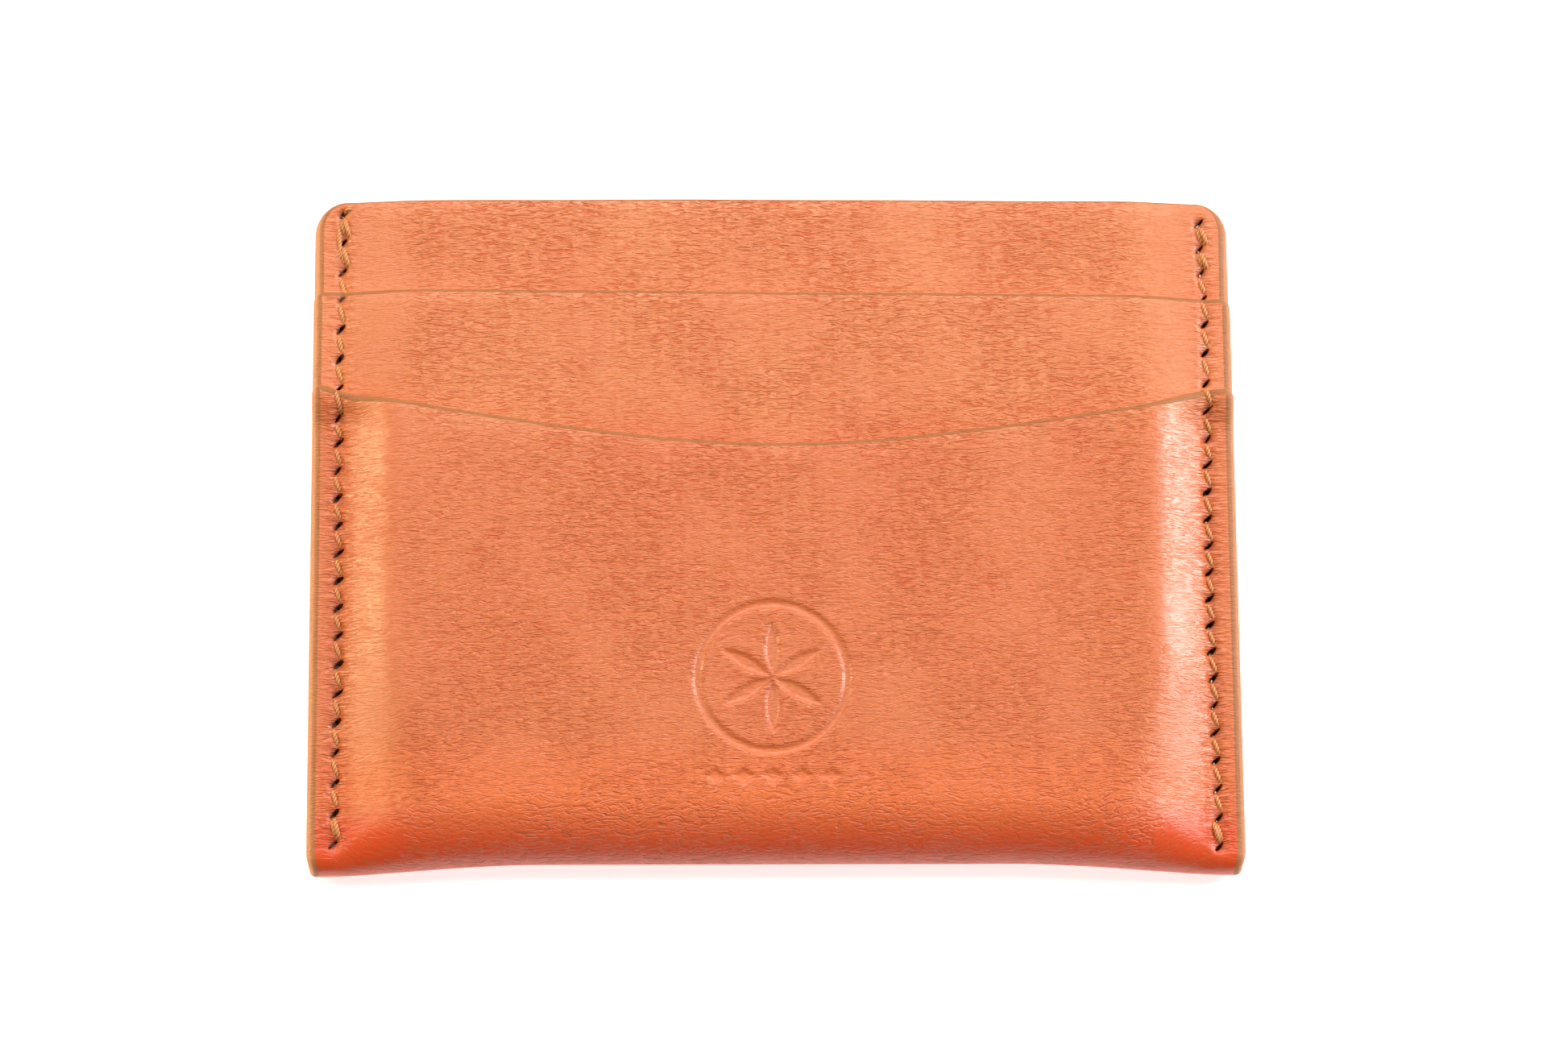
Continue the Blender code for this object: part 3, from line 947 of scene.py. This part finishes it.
class Nodes:
    """A short way to write a material's nodes."""

    def __init__(self, name):
        self.material = bpy.data.materials.new(name)
        self.material.use_nodes = True
        self.tree = self.material.node_tree
        self.shader = self.tree.nodes["Principled BSDF"]

    def new(self, kind, **settings):
        node = self.tree.nodes.new(kind)
        for key, value in settings.items():
            setattr(node, key, value)
        return node

    def put(self, socket, value):
        if isinstance(value, bpy.types.NodeSocket):
            self.tree.links.new(value, socket)
        else:
            socket.default_value = value

    def attribute(self, name, output="Fac"):
        return self.new("ShaderNodeAttribute", attribute_name=name).outputs[output]

    def math(self, operation, a, b=0.0, c=0.0):
        node = self.new("ShaderNodeMath", operation=operation)
        for socket, value in zip(node.inputs, (a, b, c)):
            self.put(socket, value)
        return node.outputs[0]

    def scaled(self, vector, scale):
        node = self.new("ShaderNodeVectorMath", operation="MULTIPLY")
        self.put(node.inputs[0], vector)
        node.inputs[1].default_value = scale
        return node.outputs[0]

    def added(self, a, b):
        node = self.new("ShaderNodeVectorMath", operation="ADD")
        self.put(node.inputs[0], a)
        self.put(node.inputs[1], b)
        return node.outputs[0]

    def noise(self, vector, scale, detail=2.0, roughness=0.5, distortion=0.0):
        node = self.new("ShaderNodeTexNoise")
        self.put(node.inputs["Vector"], vector)
        node.inputs["Scale"].default_value = scale
        node.inputs["Detail"].default_value = detail
        node.inputs["Roughness"].default_value = roughness
        node.inputs["Distortion"].default_value = distortion
        return node.outputs["Fac"]

    def stepped(self, value, low, high, to_low=0.0, to_high=1.0):
        node = self.new("ShaderNodeMapRange", interpolation_type="SMOOTHSTEP")
        self.put(node.inputs["Value"], value)
        node.inputs["From Min"].default_value = low
        node.inputs["From Max"].default_value = high
        node.inputs["To Min"].default_value = to_low
        node.inputs["To Max"].default_value = to_high
        return node.outputs["Result"]

    def colour(self, share, first, second, blend="MIX"):
        node = self.new("ShaderNodeMix", data_type="RGBA", blend_type=blend)
        self.put(node.inputs["Factor"], share)
        self.put(node.inputs["A"], first)
        self.put(node.inputs["B"], second)
        return node.outputs["Result"]


# NodeSocket look-up by name is ambiguous on the Mix node, so these are its RGBA sockets.
def mix_colour(nodes, share, first, second):
    node = nodes.new("ShaderNodeMix", data_type="RGBA")
    nodes.put(node.inputs[0], share)
    nodes.put(node.inputs[6], first)
    nodes.put(node.inputs[7], second)
    return node.outputs[2]


GRAIN_ORANGE = (0.768, 0.193, 0.069, 1.0)
GRAIN_LIGHT = (0.806, 0.258, 0.095, 1.0)
BEHIND_LIT_ORANGE = (0.800, 0.262, 0.096, 1.0)
FLANGE_HIGHLIGHT = (0.880, 0.265, 0.105, 1.0)
GLOW_ORANGE = (0.900, 0.195, 0.055, 1.0)
FOLD_SHADE_RED = (0.850, 0.072, 0.014, 1.0)
CREASE_SHADE_RED = (0.690, 0.100, 0.022, 1.0)
EDGE_TAN = (0.700, 0.260, 0.098, 1.0)
EDGE_DARK = (0.385, 0.128, 0.030, 1.0)
HOLE_SHADE_RED = (0.300, 0.050, 0.015, 1.0)
SLIT_SHADE_BLACK = (0.020, 0.008, 0.004, 1.0)
THREAD_AMBER = (0.800, 0.370, 0.140, 1.0)
THREAD_PLY_SHADE = (0.400, 0.120, 0.032, 1.0)


def leather_material():
    """Dyed grain with fine creases that run across, puckers at the seams, and a tan rim."""
    n = Nodes("orange_vegetable_tanned_leather")
    flat = n.attribute("flat", "Vector")
    rim = n.attribute("rim")
    pit = n.attribute("pit")
    pucker = n.attribute("pucker")
    pressed = n.attribute("pressed")

    layers = n.new("ShaderNodeSeparateXYZ")
    n.put(layers.inputs[0], flat)

    drift = n.new("ShaderNodeTexNoise", noise_dimensions="3D")
    n.put(drift.inputs["Vector"], flat)
    drift.inputs["Scale"].default_value = 0.22
    drift.inputs["Detail"].default_value = 2.0
    wandering = n.added(flat, n.scaled(drift.outputs["Color"], (1.5, 0.9, 0.0)))

    # Creases: thin valleys where a stretched noise passes through its middle.
    long_field = n.noise(n.scaled(wandering, (0.42, 2.3, 1.0)), 1.0, 1.0, 0.5)
    long_valley = n.math("ABSOLUTE", n.math("SUBTRACT", long_field, 0.5))
    long_crease = n.stepped(long_valley, 0.0, 0.075)
    short_field = n.noise(n.scaled(wandering, (0.85, 3.6, 1.0)), 1.0, 1.0, 0.5)
    short_valley = n.math("ABSOLUTE", n.math("SUBTRACT", short_field, 0.52))
    short_crease = n.stepped(short_valley, 0.0, 0.08)
    where = n.stepped(n.noise(flat, 0.09, 1.0, 0.5), 0.34, 0.60, 0.6, 1.05)
    broken = n.stepped(n.noise(n.scaled(flat, (0.8, 1.6, 1.0)), 1.0, 1.0), 0.36, 0.56)
    long_depth = n.math("MULTIPLY", n.math("SUBTRACT", 1.0, long_crease), broken)
    short_depth = n.math("SUBTRACT", 1.0, short_crease)
    depth = n.math("ADD", n.math("MULTIPLY", short_depth, 0.6), long_depth)
    flattened = n.stepped(pressed, -0.2, -0.05, 0.35, 1.0)
    stretched = n.stepped(n.math("ABSOLUTE", layers.outputs["X"]), 38.0, 42.5, 1.0, 0.38)
    depth = n.math("MULTIPLY", n.math("MULTIPLY", depth, where), flattened)
    depth = n.math("MULTIPLY", depth, stretched)

    # Puckers at the seams: finer and straighter than the creases.
    pull_field = n.noise(n.scaled(flat, (0.45, 2.9, 1.0)), 1.0, 1.5, 0.5, 0.2)
    pull_valley = n.math("ABSOLUTE", n.math("SUBTRACT", pull_field, 0.5))
    pull = n.math("SUBTRACT", 1.0, n.stepped(pull_valley, 0.0, 0.11))
    pull = n.math("MULTIPLY", pull, pucker)

    pores = n.noise(flat, 9.0, 2.0, 0.6)
    cloud = n.noise(n.scaled(flat, (0.085, 0.035, 0.0)), 1.0, 2.0, 0.5)
    clouded = n.stepped(layers.outputs["Y"], 44.0, 52.0, 0.25, 1.0)
    clouded = n.math("MULTIPLY", clouded, n.stepped(cloud, 0.38, 0.62))
    grain = mix_colour(n, clouded, GRAIN_ORANGE, GRAIN_LIGHT)
    # Painted light: the leathers above the front pocket's mouth are made paler, as they catch
    # more of the light.
    behind = n.stepped(layers.outputs["Y"], 46.0, 54.0, 0.0, 0.55)
    grain = mix_colour(n, behind, grain, BEHIND_LIT_ORANGE)
    # Painted highlight: the grain is lighter over the flanges at the side seams, where the side
    # lights fall.
    on_flange = n.stepped(n.math("ABSOLUTE", layers.outputs["X"]), 45.5, 48.5, 0.0, 0.7)
    grain = mix_colour(n, on_flange, grain, FLANGE_HIGHLIGHT)
    # Painted highlight: a brighter orange band just above the fold, where the front pocket starts
    # to curve over.
    glow = n.stepped(layers.outputs["Y"], 5.5, 8.0)
    glow = n.math("MULTIPLY", glow, n.stepped(layers.outputs["Y"], 9.0, 16.0, 0.85, 0.0))
    grain = mix_colour(n, glow, grain, GLOW_ORANGE)
    # Painted shade: the roll of the fold, turned away from the light, is coloured a darker,
    # redder orange.
    below_glow = n.stepped(layers.outputs["Y"], 4.2, 8.3, 1.0, 0.0)
    at_fold = n.math("MULTIPLY", below_glow, n.stepped(layers.outputs["Y"], -5.0, 0.0))
    grain = mix_colour(n, at_fold, grain, FOLD_SHADE_RED)
    # Painted shade: the creases, the puckers and the seam valleys are darkened to a deeper red.
    crease_shade = n.math("MULTIPLY", depth, 0.68)
    grain = mix_colour(n, crease_shade, grain, CREASE_SHADE_RED)
    grain = mix_colour(n, n.math("MULTIPLY", pull, 0.62), grain, CREASE_SHADE_RED)
    grain = mix_colour(n, n.math("MULTIPLY", pucker, 0.06), grain, CREASE_SHADE_RED)

    # The rim's own streaky stain, with painted shade added on the rims that face the mouths and
    # on the right-hand rim.
    streak = n.noise(n.scaled(flat, (0.8, 0.35, 4.0)), 1.0, 3.0, 0.6)
    mouth = n.math("MULTIPLY", n.attribute("mouth"), 0.9)
    below_grain = n.stepped(layers.outputs["Z"], 0.02, 0.28, 0.8, 0.0)
    rim_stain_and_shade = n.math("ADD", n.stepped(streak, 0.45, 0.75, 0.0, 0.25), below_grain)
    # Painted shade on the right-hand rim, where the right light falls.
    right_edge_shade = n.stepped(layers.outputs["X"], 47.0, 49.0, 0.0, 0.6)
    rim_stain_and_shade = n.math("ADD", rim_stain_and_shade, right_edge_shade)
    rim_stain_and_shade = n.math("MINIMUM", n.math("ADD", rim_stain_and_shade, mouth), 1.0)
    edge = mix_colour(n, rim_stain_and_shade, EDGE_TAN, EDGE_DARK)
    ragged = n.math("ADD", rim, n.math("MULTIPLY", n.noise(flat, 2.2, 2.0), 0.25))
    edge_line = n.stepped(ragged, 0.28, 0.55)
    # A dark stain on the grain along the rim, deepened at the mouths as painted shade.
    grain_edge_stain_and_shade = n.math("MULTIPLY", n.stepped(ragged, 0.02, 0.24), n.math("ADD", mouth, 0.45))
    grain = mix_colour(n, grain_edge_stain_and_shade, grain, EDGE_DARK)
    colour = mix_colour(n, edge_line, grain, edge)
    # Painted shade: a dark red-brown round each stitch hole.
    shaded = n.stepped(pit, 0.10, 0.50, 0.0, 0.7)
    colour = mix_colour(n, shaded, colour, HOLE_SHADE_RED)
    # Painted shade: the walls of the slits are coloured nearly black.
    colour = mix_colour(n, n.stepped(pit, 0.55, 0.9), colour, SLIT_SHADE_BLACK)
    n.put(n.shader.inputs["Base Color"], colour)

    smear = n.noise(flat, 0.4, 3.0, 0.6)
    rough = n.stepped(smear, 0.3, 0.7, 0.29, 0.34)
    rough = n.math("ADD", rough, n.math("MULTIPLY", depth, 0.10))
    rough = n.math("ADD", rough, n.math("MULTIPLY", edge_line, 0.28))
    n.put(n.shader.inputs["Roughness"], rough)
    n.shader.inputs["Specular IOR Level"].default_value = 0.68

    height = n.math("SUBTRACT", n.math("MULTIPLY", pores, 0.16), depth)
    height = n.math("SUBTRACT", height, n.math("MULTIPLY", pull, 1.15))
    bump = n.new("ShaderNodeBump")
    bump.inputs["Strength"].default_value = 1.0
    bump.inputs["Distance"].default_value = 0.048 * MM
    n.put(bump.inputs["Height"], height)
    n.put(n.shader.inputs["Normal"], bump.outputs["Normal"])
    return n.material


def thread_material():
    """Waxed amber thread, with painted shade between its plies, and fine fibres."""
    n = Nodes("waxed_amber_thread")
    ply = n.attribute("ply")
    place = n.scaled(n.new("ShaderNodeTexCoord").outputs["Object"], (1000.0,) * 3)
    fibres = n.noise(place, 6.0, 3.0, 0.6)
    shade = n.math("MULTIPLY", n.stepped(ply, 0.15, 0.85), n.stepped(fibres, 0.2, 0.7, 0.7, 1.0))
    n.put(n.shader.inputs["Base Color"], mix_colour(n, shade, THREAD_PLY_SHADE, THREAD_AMBER))
    n.shader.inputs["Roughness"].default_value = 0.5
    bump = n.new("ShaderNodeBump")
    bump.inputs["Distance"].default_value = 0.02 * MM
    n.put(bump.inputs["Height"], fibres)
    n.put(n.shader.inputs["Normal"], bump.outputs["Normal"])
    return n.material


def floor_material():
    n = Nodes("white_table")
    n.shader.inputs["Base Color"].default_value = (0.95, 0.95, 0.95, 1.0)
    n.shader.inputs["Roughness"].default_value = 0.9
    n.shader.inputs["Emission Color"].default_value = (1.0, 1.0, 1.0, 1.0)
    n.shader.inputs["Emission Strength"].default_value = 0.75
    return n.material


# ---------------------------------------------------------------- the scene


def make_floor():
    bpy.ops.mesh.primitive_plane_add(size=3.0, location=(0, 0, -0.02 * MM))
    floor = bpy.context.object
    floor.name = "table"
    floor.data.materials.append(floor_material())


def make_camera():
    """Looks down on the front of the holder, from a little to the left of its foot."""
    azimuth, elevation, roll = math.radians(7.6), math.radians(76.0), math.radians(7.37)
    distance, lens = 570.0 * MM, 121.2
    forward = Vector(
        (
            math.sin(azimuth) * math.cos(elevation),
            math.cos(azimuth) * math.cos(elevation),
            -math.sin(elevation),
        )
    )
    level = Vector((math.cos(azimuth), -math.sin(azimuth), 0.0))
    upright = level.cross(forward)
    right = level * math.cos(roll) + upright * math.sin(roll)
    up = upright * math.cos(roll) - level * math.sin(roll)
    camera = bpy.data.objects.new("camera", bpy.data.cameras.new("camera"))
    camera.data.lens = lens
    camera.data.clip_start = 0.01
    turn = Matrix((right, up, -forward)).transposed().to_4x4()
    target = Vector((1.0, 1.2, 3.0)) * MM
    camera.matrix_world = Matrix.Translation(target - forward * distance) @ turn
    bpy.context.scene.collection.objects.link(camera)
    bpy.context.scene.camera = camera


def area_light(name, place, size, power, colour):
    data = bpy.data.lights.new(name, "AREA")
    data.shape = "RECTANGLE"
    data.size, data.size_y = size
    data.energy = power
    data.color = colour
    light = bpy.data.objects.new(name, data)
    light.location = place
    light.rotation_euler = (-Vector(place)).to_track_quat("-Z", "Y").to_euler()
    bpy.context.scene.collection.objects.link(light)


def make_lights():
    area_light("key", (0.0, 0.50, 0.65), (0.9, 0.5), 5.3, (1.0, 0.98, 0.95))
    area_light("left", (-0.75, 0.20, 0.38), (0.16, 0.7), 5.2, (1.0, 0.82, 0.46))
    area_light("right", (0.74, 0.20, 0.38), (0.16, 0.7), 7.5, (1.0, 0.98, 0.98))
    world = bpy.data.worlds.new("studio")
    world.use_nodes = True
    backdrop = world.node_tree.nodes["Background"]
    backdrop.inputs["Color"].default_value = (1.0, 1.0, 1.0, 1.0)
    backdrop.inputs["Strength"].default_value = 0.08
    bpy.context.scene.world = world
    bpy.context.scene.view_settings.view_transform = "Standard"


make_camera()
leather = leather_material()
thread = thread_material()
for make, node in (
    (make_wrap, "outer_wrap"),
    (make_t_pocket, "t_pocket"),
    (make_centre_panel, "centre_panel"),
):
    piece = make()
    piece.data.materials.append(leather)
    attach(piece, "root")
    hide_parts(node)
for piece, node in (
    (make_seam_thread("left"), "seam_thread_left"),
    (make_seam_thread("right"), "seam_thread_right"),
    (make_t_row_thread(), "t_pocket_thread"),
):
    piece.data.materials.append(thread)
    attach(piece, "root")
    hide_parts(node)
make_floor()
make_lights()
